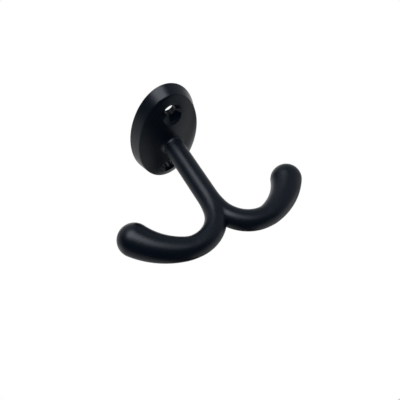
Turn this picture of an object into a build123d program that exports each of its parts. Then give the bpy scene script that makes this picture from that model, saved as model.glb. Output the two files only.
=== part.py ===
"""Anchor hook: a cast double hook that hangs from the underside of a shelf.

Millimetres. The origin is the centre of the oval back face, which lies in the XY plane.
The stem hangs along -Z, the two arms spread along X, and the screws stand along Y.
"""
from build123d import *
from math import asin, cos, radians, sin, tan
import os

# Oval base plate
base_width = 30.0
base_length = 50.0
side_height = 5.4
side_draw_in = 1.6        # how far the side leans in from the back face to the front edge
dome_rise = 4.0
front_edge_round = 0.5
back_edge_chamfer = 0.3

# Hollow behind the plate
rim_width = 2.8
hollow_depth = 2.8
hollow_corner_chamfer = 0.8

# Countersunk screw holes
screw_spacing = 32.0
screw_hole_diameter = 4.8
sink_diameter = 8.8
sink_angle = 90.0

# Stem
stem_diameter = 8.4
stem_root_round = 1.6
stem_sunk = 1.0           # how far the stem reaches into the plate, so that the two are one
fork_depth = 38.3         # from the back face to the place where the arms leave the stem's axis

# Arms: three arcs from the fork to the tip, then a ball
neck_radius = 33.0
neck_sweep = 12.0
bend_radius = 14.0
bend_sweep = 96.0
reach_radius = 27.0
reach_sweep = 37.6
tip_diameter = 12.5
swell_start = 0.55        # share of the arm's length where it starts to thicken
swell_power = 1.15
arm_sections = 16

# Sizes that follow from the ones above
face_depth = side_height + dome_rise
front_half_width = base_width / 2 - side_draw_in
front_half_length = base_length / 2 - side_draw_in
stem_r = stem_diameter / 2
tip_r = tip_diameter / 2
screw_r = screw_hole_diameter / 2
sink_r = sink_diameter / 2
sink_slope = tan(radians(sink_angle / 2))
sink_depth = (sink_r - screw_r) / sink_slope
arm_length = radians(neck_radius * neck_sweep + bend_radius * bend_sweep + reach_radius * reach_sweep)
flare = asin((tip_r - stem_r) * swell_power / (arm_length * (1 - swell_start)))


def arc_radius(half_chord, rise):
    """Radius of the arc that rises this much over this half chord."""
    return (half_chord**2 + rise**2) / (2 * rise)


def arm_radius(share):
    """Radius of the arm at this share of its length; the ball takes over where it ends."""
    swell = max(0.0, (share - swell_start) / (1 - swell_start)) ** swell_power
    return stem_r + (tip_r * cos(flare) - stem_r) * swell


# The domed front is part of a ball that is stretched along the oval, so its level lines follow the oval.
ball_r = arc_radius(front_half_width, dome_rise)
ball_stretch = front_half_length / front_half_width
dome_at_screw = face_depth - ball_r + (ball_r**2 - (screw_spacing / 2 / ball_stretch) ** 2) ** 0.5

with BuildPart() as stretched_ball:
    with Locations((0, 0, ball_r - face_depth)):
        Sphere(ball_r)
    scale(by=(1, ball_stretch, 1))

# One arm, cut on the plane where it meets the other
with BuildPart() as half_arm:
    with BuildLine(Plane.XZ) as centreline:
        neck = JernArc((0, -fork_depth), (0, -1), neck_radius, neck_sweep)
        bend = JernArc(neck @ 1, neck % 1, bend_radius, bend_sweep)
        reach = JernArc(bend @ 1, bend % 1, reach_radius, reach_sweep)
    spine = centreline.wires()[0]
    for step in range(arm_sections + 1):
        share = step / arm_sections
        with BuildSketch(Plane(origin=spine @ share, x_dir=(0, 1, 0), z_dir=spine % share)):
            Circle(arm_radius(share))
    loft()
    with BuildPart() as ball:
        with Locations(spine @ 1 + (spine % 1) * (tip_r * sin(flare))):
            Sphere(tip_r)
        split(bisect_by=Plane(origin=spine @ 1, z_dir=spine % 1), keep=Keep.TOP)
    split(bisect_by=Plane.YZ, keep=Keep.TOP)

with BuildPart() as anchor_hook:
    # Oval plate: the side leans in, and the front is domed
    with BuildSketch(Plane.XY):
        Ellipse(base_width / 2, base_length / 2)
    with BuildSketch(Plane.XY.offset(-2 * side_height)):
        Ellipse(base_width / 2 - 2 * side_draw_in, base_length / 2 - 2 * side_draw_in)
    loft(ruled=True)
    add(stretched_ball.part, mode=Mode.INTERSECT)
    front_edges = edges().filter_by(lambda e: -face_depth < e.center().Z < -side_height / 2)
    fillet(front_edges, front_edge_round)
    chamfer(edges().filter_by_position(Axis.Z, -0.01, 0.01), back_edge_chamfer)

    # Hollow back
    with BuildSketch(Plane.XY):
        Ellipse(base_width / 2 - rim_width, base_length / 2 - rim_width)
    extrude(amount=-hollow_depth, mode=Mode.SUBTRACT)
    hollow_corner = edges().filter_by_position(Axis.Z, -hollow_depth - 0.01, -hollow_depth + 0.01)
    chamfer(hollow_corner, hollow_corner_chamfer)

    # Stem
    with BuildSketch(Plane.XY.offset(stem_sunk - face_depth)):
        Circle(stem_r)
    extrude(amount=face_depth - stem_sunk - fork_depth)
    root_edges = edges().filter_by(lambda e: abs(e.center().Z + face_depth) < stem_sunk and e.length < 8 * stem_r)
    fillet(root_edges, stem_root_round)

    # Screw holes, countersunk from the domed front
    with GridLocations(0, screw_spacing, 1, 2):
        Cylinder(screw_r, 3 * face_depth, mode=Mode.SUBTRACT)
        with Locations((0, 0, sink_depth - dome_at_screw)):
            Cone(
                screw_r + 2 * sink_depth * sink_slope,
                screw_r,
                2 * sink_depth,
                align=(Align.CENTER, Align.CENTER, Align.MAX),
                mode=Mode.SUBTRACT,
            )

    # Arms, one on each side
    add(half_arm.part)
    mirror(half_arm.part, about=Plane.YZ)

anchor_hook.part.label = "anchor_hook"
os.makedirs("parts", exist_ok=True)
export_step(anchor_hook.part, "parts/anchor_hook.step")
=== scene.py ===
"""Looks of the anchor hook: the casting in its black coat, with its stage, lights and camera.

Metres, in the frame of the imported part. The back face lies in the XY plane, the stem hangs
along -Z, the arms spread along X and the screws stand along Y.
"""
import math

import bmesh
import bpy
from mathutils import Matrix, Vector


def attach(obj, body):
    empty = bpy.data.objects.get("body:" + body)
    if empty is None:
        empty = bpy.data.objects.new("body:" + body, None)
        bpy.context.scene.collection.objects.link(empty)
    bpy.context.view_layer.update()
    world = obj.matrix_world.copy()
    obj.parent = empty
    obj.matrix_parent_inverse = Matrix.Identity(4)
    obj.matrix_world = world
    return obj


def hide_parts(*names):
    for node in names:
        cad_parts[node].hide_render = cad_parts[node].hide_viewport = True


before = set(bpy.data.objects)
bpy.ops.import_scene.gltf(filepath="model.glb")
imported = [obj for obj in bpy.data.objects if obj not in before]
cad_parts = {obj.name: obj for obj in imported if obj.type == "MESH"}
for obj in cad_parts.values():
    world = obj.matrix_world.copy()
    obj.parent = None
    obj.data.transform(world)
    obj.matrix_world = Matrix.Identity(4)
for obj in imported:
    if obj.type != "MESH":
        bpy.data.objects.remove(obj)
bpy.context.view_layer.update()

bl_info = {
    "name": "Anchor hook",
    "version": (1, 0, 0),
    "blender": (4, 5, 0),
    "location": "3D View > Sidebar > Anchor hook",
    "description": "Models an under-shelf anchor hook with a black coat, and lights it",
    "category": "Object",
}

# The place that the lamps face, and the direction from the hook to the middle of the white backdrop
HOOK_MIDDLE = Vector((0, 0, -0.03))
BACKDROP_SIDE = (0.34, 0.74, 0.58)

# Each lamp: name, side and height and width in degrees as seen from the hook, distance in metres, brightness
LAMPS = (
    ("key_lamp", 251, 13, 48, 0.5, 4.4),
    ("low_lamp", 272, -13, 34, 0.5, 1.05),
    ("top_lamp", 234, 80, 86, 0.5, 0.38),
    ("back_card", 145, 24, 56, 0.35, 0.45),
    ("right_card", 35, -43, 66, 0.3, 0.6),
    ("left_card", 130, -11, 68, 0.3, 0.4),
    ("side_card", 342, 5, 92, 0.35, 0.35),
)
LAMP_SPREAD = math.radians(150)

# The camera of the product picture: its place in metres, its right and its up, and its lens in millimetres
CAMERA_PLACE = (-0.0681, -0.1477, -0.1287)
CAMERA_RIGHT = (0.8725, -0.0904, -0.4805)
CAMERA_UP = (0.3405, -0.5924, 0.7300)
CAMERA_LENS = 43.65

# How many rings each stretch of the casting has
SIDE_RINGS = 6
DOME_RINGS = 16
ROOT_RINGS = 8
STEM_RINGS = 14
NECK_RINGS, BEND_RINGS, REACH_RINGS = 8, 40, 24
TIP_RINGS = 18

# Points that lie nearer to each other than this are one
MERGE_GAP = 0.000002

# Passes that blend the arms into each other: half width, top and bottom in metres, and how often they smooth
FORK_BLEND = (
    (0.0032, -0.0405, -0.0480, 45),
    (0.0025, -0.0395, -0.0495, 30),
    (0.0016, -0.0390, -0.0508, 14),
    (0.0009, -0.0385, -0.0522, 6),
)


class HookSizes(bpy.types.PropertyGroup):
    """Sizes of the casting."""

    plate_width: bpy.props.FloatProperty(
        name="Plate width", description="Across the oval plate, at its back face", default=0.030, unit="LENGTH"
    )
    plate_length: bpy.props.FloatProperty(
        name="Plate length", description="Along the oval plate, at its back face", default=0.050, unit="LENGTH"
    )
    side_height: bpy.props.FloatProperty(
        name="Side height", description="From the back face to the front edge", default=0.0054, unit="LENGTH"
    )
    side_draw_in: bpy.props.FloatProperty(
        name="Side draw-in", description="How far the side leans in to the front edge", default=0.0016, unit="LENGTH"
    )
    dome_rise: bpy.props.FloatProperty(
        name="Dome rise", description="From the front edge to the top of the dome", default=0.0040, unit="LENGTH"
    )
    edge_round: bpy.props.FloatProperty(
        name="Front edge", description="Width of the rounded front edge", default=0.0005, unit="LENGTH"
    )
    back_chamfer: bpy.props.FloatProperty(
        name="Back edge", description="Chamfer round the back face", default=0.0003, unit="LENGTH"
    )
    rim_width: bpy.props.FloatProperty(
        name="Rim width", description="Width of the back face round the hollow", default=0.0028, unit="LENGTH"
    )
    hollow_depth: bpy.props.FloatProperty(
        name="Hollow depth", description="Depth of the hollow back", default=0.0028, unit="LENGTH"
    )
    hollow_chamfer: bpy.props.FloatProperty(
        name="Hollow corner", description="Chamfer at the floor of the hollow", default=0.0008, unit="LENGTH"
    )
    screw_spacing: bpy.props.FloatProperty(
        name="Screw spacing", description="Between the two screw holes", default=0.032, unit="LENGTH"
    )
    screw_hole: bpy.props.FloatProperty(
        name="Screw hole", description="Diameter of the screw holes", default=0.0048, unit="LENGTH"
    )
    sink_mouth: bpy.props.FloatProperty(
        name="Countersink", description="Diameter of the countersinks at the dome", default=0.0088, unit="LENGTH"
    )
    stem_diameter: bpy.props.FloatProperty(
        name="Stem diameter", description="Diameter of the stem and of the arms' necks", default=0.0084, unit="LENGTH"
    )
    root_round: bpy.props.FloatProperty(
        name="Stem root", description="Radius where the stem meets the dome", default=0.0016, unit="LENGTH"
    )
    fork_depth: bpy.props.FloatProperty(
        name="Fork depth", description="From the back face to the start of the arms", default=0.0383, unit="LENGTH"
    )
    neck_radius: bpy.props.FloatProperty(
        name="Neck radius", description="Radius of the arm's first arc", default=0.033, unit="LENGTH"
    )
    neck_sweep: bpy.props.FloatProperty(
        name="Neck sweep", description="Angle of the arm's first arc", default=math.radians(12), subtype="ANGLE"
    )
    bend_radius: bpy.props.FloatProperty(
        name="Bend radius", description="Radius of the arm's tight arc", default=0.014, unit="LENGTH"
    )
    bend_sweep: bpy.props.FloatProperty(
        name="Bend sweep", description="Angle of the arm's tight arc", default=math.radians(96), subtype="ANGLE"
    )
    reach_radius: bpy.props.FloatProperty(
        name="Reach radius", description="Radius of the arm's last arc", default=0.027, unit="LENGTH"
    )
    reach_sweep: bpy.props.FloatProperty(
        name="Reach sweep", description="Angle of the arm's last arc", default=math.radians(37.6), subtype="ANGLE"
    )
    tip_diameter: bpy.props.FloatProperty(
        name="Tip diameter", description="Diameter of the ball at the arm's end", default=0.0125, unit="LENGTH"
    )
    swell_start: bpy.props.FloatProperty(
        name="Swell start", description="Share of the arm's length where it starts to thicken", default=0.55
    )
    swell_power: bpy.props.FloatProperty(
        name="Swell power", description="How late the arm thickens", default=1.15
    )
    segments: bpy.props.IntProperty(
        name="Segments", description="Points round each ring of the casting", default=128, min=16
    )


class CoatLook(bpy.types.PropertyGroup):
    """Look of the black coat."""

    colour: bpy.props.FloatVectorProperty(
        name="Colour", description="Colour of the coat", default=(0.0002, 0.0014, 0.0040), size=3, subtype="COLOR"
    )
    greyer_colour: bpy.props.FloatVectorProperty(
        name="Greyer colour",
        description="Where the coat is a little greyer",
        default=(0.0008, 0.0027, 0.0064),
        size=3,
        subtype="COLOR",
    )
    roughness: bpy.props.FloatProperty(name="Roughness", description="Middle roughness of the coat", default=0.36)
    cloud_roughness: bpy.props.FloatProperty(
        name="Cloud roughness", description="How far the roughness drifts over the casting", default=0.10
    )
    speck_roughness: bpy.props.FloatProperty(
        name="Speck roughness", description="How far the roughness varies from speck to speck", default=0.12
    )
    hole_gloss: bpy.props.FloatProperty(
        name="Hole gloss",
        description="How much less rough the coat is where it pooled in the screw holes",
        default=0.18,
    )
    grain: bpy.props.FloatProperty(
        name="Grain", description="Size of the coat's fine orange-peel grain", default=0.0006, unit="LENGTH"
    )
    grain_height: bpy.props.FloatProperty(
        name="Grain height", description="Height of the fine grain", default=0.000008, unit="LENGTH"
    )
    ripple: bpy.props.FloatProperty(
        name="Ripple", description="Size of the cast surface's slow ripple", default=0.006, unit="LENGTH"
    )
    ripple_height: bpy.props.FloatProperty(
        name="Ripple height", description="Height of the slow ripple", default=0.00004, unit="LENGTH"
    )


class StageLook(bpy.types.PropertyGroup):
    """Floor, even light and white backdrop."""

    floor_height: bpy.props.FloatProperty(
        name="Floor height", description="Height of the floor in the part's frame", default=-0.45, unit="LENGTH"
    )
    floor_size: bpy.props.FloatProperty(
        name="Floor size", description="Side of the square floor", default=60.0, unit="LENGTH"
    )
    floor_colour: bpy.props.FloatVectorProperty(
        name="Floor colour",
        description="Colour of the pale floor",
        default=(0.86, 0.86, 0.86),
        size=3,
        subtype="COLOR",
    )
    fill: bpy.props.FloatProperty(name="Fill", description="Strength of the even light from all round", default=0.65)
    backdrop_from: bpy.props.FloatProperty(
        name="Backdrop edge", description="Cosine from the backdrop's middle at which it starts", default=0.7
    )
    backdrop_to: bpy.props.FloatProperty(
        name="Backdrop full", description="Cosine from the backdrop's middle at which it is fully white", default=0.88
    )


def arc_radius(half_chord, rise):
    """Radius of the arc that rises this much over this half chord."""
    return (half_chord**2 + rise**2) / (2 * rise)


def deselect_objects():
    """Nothing is selected, so that the next operator acts only on what it makes."""
    bpy.ops.object.select_all(action="DESELECT")


def open_for_editing(piece):
    """Edit mode on this piece alone, with nothing selected."""
    deselect_objects()
    piece.select_set(True)
    bpy.context.view_layer.objects.active = piece
    bpy.ops.object.mode_set(mode="EDIT")
    bpy.ops.mesh.select_all(action="DESELECT")


def select_edges(piece, chosen):
    """Selects the edges that this test picks by their two ends. Edit mode."""
    bpy.ops.mesh.select_mode(type="EDGE")
    shell = bmesh.from_edit_mesh(piece.data)
    for edge in shell.edges:
        edge.select_set(chosen(edge.verts[0].co, edge.verts[1].co))
    shell.select_flush_mode()
    bmesh.update_edit_mesh(piece.data)


class Dome:
    """Height of the plate's domed front and of the blend round the stem, from the sizes."""

    def __init__(self, sizes):
        self.depth = sizes.side_height + sizes.dome_rise
        self.half_x = sizes.plate_width / 2 - sizes.side_draw_in
        self.half_y = sizes.plate_length / 2 - sizes.side_draw_in
        self.ball_r = arc_radius(self.half_x, sizes.dome_rise)
        self.stretch = self.half_y / self.half_x
        self.stem_r = sizes.stem_diameter / 2
        self.blend = sizes.root_round

    def z(self, x, y):
        """Height of the dome at x, y: part of a ball that is stretched along the oval."""
        return self.ball_r - self.depth - math.sqrt(self.ball_r**2 - x**2 - (y / self.stretch) ** 2)

    def point(self, x, y):
        """Point of the dome over x, y."""
        return Vector((x, y, self.z(x, y)))

    def root(self, angle, share):
        """Point of the blend at this angle round the stem, from the dome (0) to the stem (1)."""
        out = Vector((math.cos(angle), math.sin(angle)))
        centre_r = self.stem_r + self.blend
        step = 0.0001
        tilt = 0.0
        # The foot of the blend and the dome's tilt there depend on each other, and settle in a few rounds
        for _ in range(3):
            foot_r = centre_r - self.blend * math.sin(tilt)
            rise = self.z(*(out * (foot_r + step))) - self.z(*(out * foot_r))
            tilt = math.atan2(rise, step)
        centre_z = self.z(*(out * foot_r)) - self.blend * math.cos(tilt)
        swing = tilt + (math.pi / 2 - tilt) * share
        radius = centre_r - self.blend * math.sin(swing)
        return Vector((*(out * radius), centre_z + self.blend * math.cos(swing)))


class Rings:
    """A tube that is pulled out of a filled oval ring by ring. Its open edge stays selected."""

    def __init__(self, name, half_x, half_y, z, points):
        deselect_objects()
        bpy.ops.mesh.primitive_circle_add(vertices=points, radius=half_y, fill_type="NGON", location=(0, 0, z))
        self.piece = bpy.context.object
        self.piece.name = name
        self.piece.data.name = name
        bpy.ops.object.transform_apply(location=True, rotation=True, scale=True)
        bpy.ops.object.mode_set(mode="EDIT")
        bpy.ops.mesh.select_all(action="SELECT")
        bpy.ops.transform.resize(value=(half_x / half_y, 1, 1), center_override=(0, 0, z))
        bpy.ops.mesh.select_mode(type="EDGE")
        bpy.ops.mesh.region_to_loop()
        self.half_x, self.half_y, self.z = half_x, half_y, z
        self.centre = Vector((0, 0, z))
        self.heading = Vector((0, 0, -1))
        self.radius = None

    def oval(self, half_x, half_y, z):
        """The next ring is an oval at this height."""
        bpy.ops.mesh.extrude_region_move(TRANSFORM_OT_translate={"value": (0, 0, z - self.z)})
        stretch = (half_x / self.half_x, half_y / self.half_y, 1)
        bpy.ops.transform.resize(value=stretch, center_override=(0, 0, z))
        self.half_x, self.half_y, self.z = half_x, half_y, z

    def laid(self, half_x, half_y, place):
        """The next ring has these half widths, and each of its points is laid where place(angle) says."""
        bpy.ops.mesh.extrude_region_move()
        shell = bmesh.from_edit_mesh(self.piece.data)
        for vert in shell.verts:
            if vert.select:
                vert.co = place(math.atan2(vert.co.y / self.half_y, vert.co.x / self.half_x))
        bmesh.update_edit_mesh(self.piece.data)
        self.half_x, self.half_y = half_x, half_y

    def level(self, radius, z):
        """The next ring is a level circle of this radius."""
        bpy.ops.mesh.extrude_region_move()
        bpy.ops.transform.resize(value=(1, 1, 0), center_override=(0, 0, z))
        self.half_x, self.half_y, self.z = radius, radius, z
        self.radius = radius
        self.centre = Vector((0, 0, z))

    def straight(self, step, radius):
        """The next ring lies this far ahead along the tube."""
        shift = self.heading * step
        bpy.ops.mesh.extrude_region_move(TRANSFORM_OT_translate={"value": shift})
        self.centre = self.centre + shift
        self.grow(radius)

    def turned(self, bend, angle, radius):
        """The next ring is spun on by this angle round the centre of a bend in the arms' plane."""
        side = Vector((-self.heading.z, 0, self.heading.x))
        pivot = self.centre + side * bend
        bpy.ops.mesh.spin(steps=1, angle=angle, center=pivot, axis=(0, 1, 0))
        turn = Matrix.Rotation(angle, 3, (0, -1, 0))
        self.centre = pivot + turn @ (self.centre - pivot)
        self.heading = turn @ self.heading
        self.grow(radius)

    def grow(self, radius):
        """The last ring gets this radius."""
        factor = radius / self.radius
        bpy.ops.transform.resize(value=(factor, factor, factor), center_override=self.centre)
        self.radius = radius

    def close(self, step):
        """The tube ends in a point this far ahead."""
        bpy.ops.mesh.extrude_region_move(TRANSFORM_OT_translate={"value": self.heading * step})
        bpy.ops.mesh.merge(type="CENTER")


def pull_plate(rings, sizes, dome):
    """The plate, from the floor of its hollow round the rim, up the side and over the dome to the stem."""
    wide, long = sizes.plate_width / 2, sizes.plate_length / 2
    rim, corner, chamfer = sizes.rim_width, sizes.hollow_chamfer, sizes.back_chamfer
    rings.oval(wide - rim, long - rim, corner - sizes.hollow_depth)
    rings.oval(wide - rim, long - rim, 0)
    rings.oval(wide - chamfer, long - chamfer, 0)
    for step in range(SIDE_RINGS + 1):
        height = chamfer + (sizes.side_height - chamfer) * step / SIDE_RINGS
        lean = sizes.side_draw_in * height / sizes.side_height
        rings.oval(wide - lean, long - lean, -height)
    foot = dome.stem_r + dome.blend
    for step in range(1, DOME_RINGS):
        half_x = dome.half_x + (foot - dome.half_x) * step / DOME_RINGS
        half_y = dome.half_y + (foot - dome.half_y) * step / DOME_RINGS
        rings.laid(half_x, half_y, lambda angle: dome.point(half_x * math.cos(angle), half_y * math.sin(angle)))
    # For a round ring only the ratio of the two half widths counts
    for step in range(ROOT_RINGS + 1):
        rings.laid(1, 1, lambda angle: dome.root(angle, step / ROOT_RINGS))


def arm_radius(sizes, share, end_r):
    """Radius of the arm at this share of its length."""
    swell = max(0.0, (share - sizes.swell_start) / (1 - sizes.swell_start)) ** sizes.swell_power
    return sizes.stem_diameter / 2 + (end_r - sizes.stem_diameter / 2) * swell


def pull_arm(rings, sizes):
    """The stem and one arm: straight down, through three arcs, and closed by the ball at its end."""
    stem_r, tip_r = sizes.stem_diameter / 2, sizes.tip_diameter / 2
    below_root = 0.001
    start = -sizes.side_height - sizes.dome_rise - sizes.root_round - below_root
    for step in range(STEM_RINGS + 1):
        rings.level(stem_r, start + (-sizes.fork_depth - start) * step / STEM_RINGS)
    arcs = (
        (sizes.neck_radius, sizes.neck_sweep, NECK_RINGS),
        (sizes.bend_radius, sizes.bend_sweep, BEND_RINGS),
        (sizes.reach_radius, sizes.reach_sweep, REACH_RINGS),
    )
    length = sum(radius * sweep for radius, sweep, _ in arcs)
    flare = math.asin((tip_r - stem_r) * sizes.swell_power / (length * (1 - sizes.swell_start)))
    end_r = tip_r * math.cos(flare)
    done = 0.0
    for bend, sweep, count in arcs:
        for _ in range(count):
            done += bend * sweep / count
            rings.turned(bend, sweep / count, arm_radius(sizes, min(1.0, done / length), end_r))
    reached = -flare
    for step in range(1, TIP_RINGS):
        angle = -flare + (math.pi / 2 + flare) * step / TIP_RINGS
        rings.straight(tip_r * (math.sin(angle) - math.sin(reached)), tip_r * math.cos(angle))
        reached = angle
    rings.close(tip_r * (1 - math.sin(reached)))


def mirror_half(piece):
    """Keeps the half that carries the arm, and mirrors it, so that the arms meet in a crease."""
    bpy.ops.mesh.select_all(action="SELECT")
    bpy.ops.mesh.bisect(plane_co=(0, 0, 0), plane_no=(1, 0, 0), clear_inner=True, threshold=1e-7)
    bpy.ops.object.mode_set(mode="OBJECT")
    bpy.ops.object.modifier_add(type="MIRROR")
    mirror = piece.modifiers[-1]
    mirror.use_axis = (True, False, False)
    mirror.merge_threshold = MERGE_GAP
    bpy.ops.object.modifier_apply(modifier=mirror.name)


def soften_fork(piece):
    """Fills the crease between the arms: most where it starts, and less and less down to the notch."""
    open_for_editing(piece)
    bpy.ops.mesh.select_mode(type="VERT")
    for half_width, top, bottom, times in FORK_BLEND:
        shell = bmesh.from_edit_mesh(piece.data)
        for vert in shell.verts:
            vert.select_set(abs(vert.co.x) < half_width and bottom < vert.co.z < top)
        shell.select_flush_mode()
        bmesh.update_edit_mesh(piece.data)
        bpy.ops.mesh.vertices_smooth(factor=0.5, repeat=times)
    bpy.ops.object.mode_set(mode="OBJECT")


def round_front_edge(piece, sizes, dome):
    """A narrow round where the side meets the dome."""
    off_oval, off_height = 0.002, 0.0002

    def on_edge(point):
        level = (point.x / dome.half_x) ** 2 + (point.y / dome.half_y) ** 2
        return abs(level - 1) < off_oval and abs(point.z + sizes.side_height) < off_height

    open_for_editing(piece)
    select_edges(piece, lambda one, two: on_edge(one) and on_edge(two))
    bpy.ops.mesh.bevel(offset=sizes.edge_round, offset_type="WIDTH", segments=3, profile=0.5)
    bpy.ops.object.mode_set(mode="OBJECT")


def screw_cutter(sizes, dome):
    """The room of one countersunk screw: a shank with a cone that opens at the dome."""
    deselect_objects()
    hole_r, mouth_r = sizes.screw_hole / 2, sizes.sink_mouth / 2
    above_back, past_dome = 0.002, 0.004
    place = Vector((0, -sizes.screw_spacing / 2, above_back))
    bpy.ops.mesh.primitive_circle_add(vertices=64, radius=hole_r, fill_type="NGON", location=place)
    cutter = bpy.context.object
    cutter.name = "screw_room"
    bpy.ops.object.transform_apply(location=True, rotation=True, scale=True)
    bpy.ops.object.mode_set(mode="EDIT")
    bpy.ops.mesh.select_all(action="SELECT")
    mouth_z = dome.z(0, sizes.screw_spacing / 2)
    neck_z = mouth_z + (mouth_r - hole_r)
    end_z = mouth_z - past_dome
    bpy.ops.mesh.extrude_region_move(TRANSFORM_OT_translate={"value": (0, 0, neck_z - place.z)})
    bpy.ops.mesh.extrude_region_move(TRANSFORM_OT_translate={"value": (0, 0, end_z - neck_z)})
    stretch = (mouth_r + past_dome) / hole_r
    bpy.ops.transform.resize(value=(stretch, stretch, 1), center_override=(place.x, place.y, end_z))
    bpy.ops.mesh.select_all(action="SELECT")
    bpy.ops.mesh.normals_make_consistent(inside=False)
    bpy.ops.object.mode_set(mode="OBJECT")
    return cutter


def cut_screw_holes(piece, sizes, dome):
    """Both countersunk holes, with cutters that are taken away afterwards."""
    first = screw_cutter(sizes, dome)
    bpy.ops.object.duplicate()
    second = bpy.context.object
    bpy.ops.transform.translate(value=(0, sizes.screw_spacing, 0))
    for cutter in (first, second):
        deselect_objects()
        piece.select_set(True)
        bpy.context.view_layer.objects.active = piece
        bpy.ops.object.modifier_add(type="BOOLEAN")
        cut = piece.modifiers[-1]
        cut.operation = "DIFFERENCE"
        cut.solver = "EXACT"
        cut.object = cutter
        bpy.ops.object.modifier_apply(modifier=cut.name)
    deselect_objects()
    first.select_set(True)
    second.select_set(True)
    bpy.ops.object.delete()


def finish_shading(piece):
    """Doubles merged, faces outwards, smooth but for the real edges."""
    open_for_editing(piece)
    bpy.ops.mesh.select_all(action="SELECT")
    bpy.ops.mesh.remove_doubles(threshold=MERGE_GAP)
    bpy.ops.mesh.normals_make_consistent(inside=False)
    bpy.ops.object.mode_set(mode="OBJECT")
    bpy.ops.object.shade_smooth_by_angle(angle=math.radians(30))


class Wire:
    """An output socket of a shader node, with arithmetic that adds Math nodes."""

    def __init__(self, graph, socket):
        self.graph = graph
        self.socket = socket

    def math(self, operation, first, second):
        return self.graph.add("ShaderNodeMath", {"operation": operation}, {0: first, 1: second})["Value"]

    def __add__(self, other):
        return self.math("ADD", self, other)

    __radd__ = __add__

    def __sub__(self, other):
        return self.math("SUBTRACT", self, other)

    def __rsub__(self, other):
        return self.math("SUBTRACT", other, self)

    def __mul__(self, other):
        return self.math("MULTIPLY", self, other)

    __rmul__ = __mul__

    def __pow__(self, other):
        return self.math("POWER", self, other)

    def __abs__(self):
        return self.math("ABSOLUTE", self, 0.0)


class Graph:
    """The node tree of one material or of the world."""

    def __init__(self, tree):
        self.tree = tree
        tree.nodes.clear()

    def add(self, kind, settings=None, inputs=None):
        """Adds a node, sets it, feeds its sockets with values or wires, and gives its outputs as wires."""
        node = self.tree.nodes.new(kind)
        for name, value in (settings or {}).items():
            setattr(node, name, value)
        for key, value in (inputs or {}).items():
            if isinstance(value, Wire):
                self.tree.links.new(value.socket, node.inputs[key])
            else:
                node.inputs[key].default_value = value
        return {output.name: Wire(self, output) for output in node.outputs if output.enabled}


def noise(graph, place, size, detail, roughness=0.5):
    """Noise with features of this size in metres, from 0 to 1."""
    return graph.add(
        "ShaderNodeTexNoise",
        {"noise_dimensions": "3D"},
        {"Vector": place, "Scale": 1 / size, "Detail": detail, "Roughness": roughness},
    )["Fac"]


def in_screw_holes(graph, place, sizes):
    """1 inside the two countersunk holes, and 0 elsewhere."""
    axes = graph.add("ShaderNodeSeparateXYZ", {}, {"Vector": place})
    along = abs(axes["Y"]) - sizes.screw_spacing / 2
    from_axis = (axes["X"] * axes["X"] + along * along) ** 0.5
    mouth_r = sizes.sink_mouth / 2
    inner_r = 0.92 * mouth_r
    near = graph.add(
        "ShaderNodeMapRange",
        {"interpolation_type": "SMOOTHSTEP"},
        {"Value": from_axis, "From Min": mouth_r, "From Max": inner_r},
    )["Result"]
    return near * axes["Z"].math("LESS_THAN", axes["Z"], -sizes.hollow_depth)


def coat_material(look, sizes):
    """Satin black coat: a fine orange-peel grain over the slow ripple of a cast surface."""
    material = bpy.data.materials.new("satin_black_coat")
    material.use_nodes = True
    graph = Graph(material.node_tree)
    cloud_size, speck_size = look.ripple * 1.7, look.grain * 0.45
    cloud_share, grain_share, speck_share = 0.7, 0.3, 0.35
    place = graph.add("ShaderNodeTexCoord")["Object"]
    ripple = noise(graph, place, look.ripple, 2.0)
    cloud = noise(graph, place, cloud_size, 3.0, 0.6)
    grain = noise(graph, place, look.grain, 2.0, 0.6)
    speck = noise(graph, place, speck_size, 1.0)
    greyer = cloud * cloud_share + grain * grain_share
    colour = graph.add(
        "ShaderNodeMix",
        {"data_type": "RGBA"},
        {"Factor": greyer, "A": (*look.colour, 1), "B": (*look.greyer_colour, 1)},
    )["Result"]
    roughness = (
        look.roughness
        + (cloud - 0.5) * look.cloud_roughness
        + (speck - 0.5) * look.speck_roughness
        - in_screw_holes(graph, place, sizes) * look.hole_gloss
    )
    slow = graph.add(
        "ShaderNodeBump", {}, {"Strength": 1.0, "Distance": look.ripple_height, "Height": ripple}
    )["Normal"]
    fine = graph.add(
        "ShaderNodeBump",
        {},
        {"Strength": 1.0, "Distance": look.grain_height, "Height": grain + speck * speck_share, "Normal": slow},
    )["Normal"]
    shader = graph.add(
        "ShaderNodeBsdfPrincipled",
        {},
        {
            "Base Color": colour,
            "Roughness": roughness,
            "Normal": fine,
            "Metallic": 0.0,
            "Specular IOR Level": 0.25,
            "Specular Tint": (0.85, 0.915, 1, 1),
        },
    )["BSDF"]
    graph.add("ShaderNodeOutputMaterial", {}, {"Surface": shader})
    return material


class OBJECT_OT_hook_casting(bpy.types.Operator):
    """Model the whole casting: the oval plate, the stem and the two arms"""

    bl_idname = "object.hook_casting"
    bl_label = "Hook casting"

    def execute(self, context):
        sizes = context.scene.hook_sizes
        dome = Dome(sizes)
        inner = sizes.rim_width + sizes.hollow_chamfer
        rings = Rings(
            "anchor_hook_casting",
            sizes.plate_width / 2 - inner,
            sizes.plate_length / 2 - inner,
            -sizes.hollow_depth,
            sizes.segments,
        )
        pull_plate(rings, sizes, dome)
        pull_arm(rings, sizes)
        casting = rings.piece
        mirror_half(casting)
        soften_fork(casting)
        round_front_edge(casting, sizes, dome)
        cut_screw_holes(casting, sizes, dome)
        finish_shading(casting)
        casting.data.materials.append(coat_material(context.scene.hook_coat, sizes))
        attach(casting, "root")
        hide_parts("anchor_hook")
        return {"FINISHED"}


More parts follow.
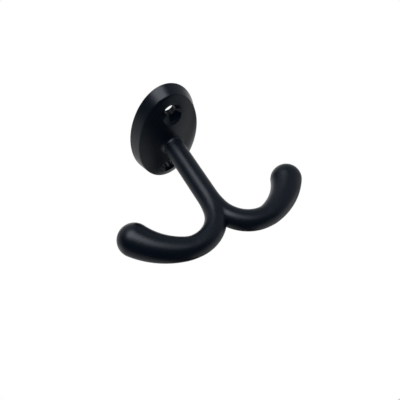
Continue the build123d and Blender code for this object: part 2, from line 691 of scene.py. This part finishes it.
def white_room(stage):
    """The camera sees plain white, gloss sees white only behind the hook, and the rest is an even fill."""
    world = bpy.data.worlds.new("studio")
    bpy.context.scene.world = world
    world.use_nodes = True
    graph = Graph(world.node_tree)
    path = graph.add("ShaderNodeLightPath")
    facing = graph.add(
        "ShaderNodeVectorMath",
        {"operation": "DOT_PRODUCT"},
        {0: graph.add("ShaderNodeTexCoord")["Generated"], 1: Vector(BACKDROP_SIDE).normalized()},
    )["Value"]
    behind = graph.add(
        "ShaderNodeMapRange",
        {"interpolation_type": "SMOOTHSTEP"},
        {"Value": facing, "From Min": stage.backdrop_from, "From Max": stage.backdrop_to},
    )["Result"]
    sharp = path["Is Glossy Ray"] + path["Is Transmission Ray"]
    seen = path["Is Camera Ray"] + sharp * behind
    strength = seen + (1 - path["Is Camera Ray"] - sharp) * stage.fill
    light = graph.add("ShaderNodeBackground", {}, {"Color": (1, 1, 1, 1), "Strength": strength})["Background"]
    graph.add("ShaderNodeOutputWorld", {}, {"Surface": light})


def floor_material(stage):
    """Plain pale floor."""
    material = bpy.data.materials.new("pale_floor")
    material.use_nodes = True
    graph = Graph(material.node_tree)
    shader = graph.add(
        "ShaderNodeBsdfPrincipled", {}, {"Base Color": (*stage.floor_colour, 1), "Roughness": 0.9}
    )["BSDF"]
    graph.add("ShaderNodeOutputMaterial", {}, {"Surface": shader})
    return material


def add_lamp(name, side, height, width, distance, brightness):
    """A round soft lamp that faces the hook: its side, height and width in degrees as seen from the hook."""
    side, height, width = math.radians(side), math.radians(height), math.radians(width)
    out = Vector((math.cos(side) * math.cos(height), math.sin(side) * math.cos(height), math.sin(height)))
    size = 2 * distance * math.tan(width / 2)
    deselect_objects()
    bpy.ops.object.light_add(
        type="AREA", location=HOOK_MIDDLE + out * distance, rotation=out.to_track_quat("Z", "Y").to_euler()
    )
    lamp = bpy.context.object
    lamp.name = name
    lamp.visible_camera = False
    lamp.data.shape = "DISK"
    lamp.data.size = size
    lamp.data.spread = LAMP_SPREAD
    lamp.data.energy = brightness * math.pi * math.pi * size**2 / 4


def add_camera():
    """The camera of the product picture: below the hook, looking up along the arms."""
    right, up = Vector(CAMERA_RIGHT), Vector(CAMERA_UP)
    back = right.cross(up).normalized()
    up = back.cross(right).normalized()
    right.normalize()
    turn = Matrix((right, up, back)).transposed()
    deselect_objects()
    bpy.ops.object.camera_add(location=CAMERA_PLACE, rotation=turn.to_euler())
    camera = bpy.context.object
    camera.name = "product_camera"
    camera.data.sensor_fit = "HORIZONTAL"
    camera.data.sensor_width = 36
    camera.data.lens = CAMERA_LENS
    camera.data.clip_start = 0.005
    camera.data.clip_end = 50
    bpy.context.scene.camera = camera


class SCENE_OT_hook_stage(bpy.types.Operator):
    """Set up the pale floor, the soft lamps, the white room and the camera"""

    bl_idname = "scene.hook_stage"
    bl_label = "Hook stage"

    def execute(self, context):
        stage = context.scene.hook_stage
        deselect_objects()
        bpy.ops.mesh.primitive_plane_add(size=stage.floor_size, location=(0, 0, stage.floor_height))
        floor = context.object
        floor.name = "floor"
        floor.data.materials.append(floor_material(stage))
        floor.visible_glossy = False
        white_room(stage)
        for lamp in LAMPS:
            add_lamp(*lamp)
        add_camera()
        context.scene.view_settings.view_transform = "Standard"
        return {"FINISHED"}


class VIEW3D_PT_hook(bpy.types.Panel):
    """Lists the hook's pieces and sizes"""

    bl_label = "Anchor hook"
    bl_space_type = "VIEW_3D"
    bl_region_type = "UI"
    bl_category = "Anchor hook"

    def draw(self, context):
        scene = context.scene
        self.layout.operator(OBJECT_OT_hook_casting.bl_idname)
        self.layout.operator(SCENE_OT_hook_stage.bl_idname)
        for group in (scene.hook_sizes, scene.hook_coat, scene.hook_stage):
            box = self.layout.box()
            for name in group.__annotations__:
                box.prop(group, name)


CLASSES = (HookSizes, CoatLook, StageLook, OBJECT_OT_hook_casting, SCENE_OT_hook_stage, VIEW3D_PT_hook)


def register():
    for kind in CLASSES:
        bpy.utils.register_class(kind)
    bpy.types.Scene.hook_sizes = bpy.props.PointerProperty(type=HookSizes)
    bpy.types.Scene.hook_coat = bpy.props.PointerProperty(type=CoatLook)
    bpy.types.Scene.hook_stage = bpy.props.PointerProperty(type=StageLook)


def unregister():
    del bpy.types.Scene.hook_stage
    del bpy.types.Scene.hook_coat
    del bpy.types.Scene.hook_sizes
    for kind in reversed(CLASSES):
        bpy.utils.unregister_class(kind)


def main():
    register()
    bpy.ops.object.hook_casting()
    bpy.ops.scene.hook_stage()


if __name__ == "__main__":
    main()
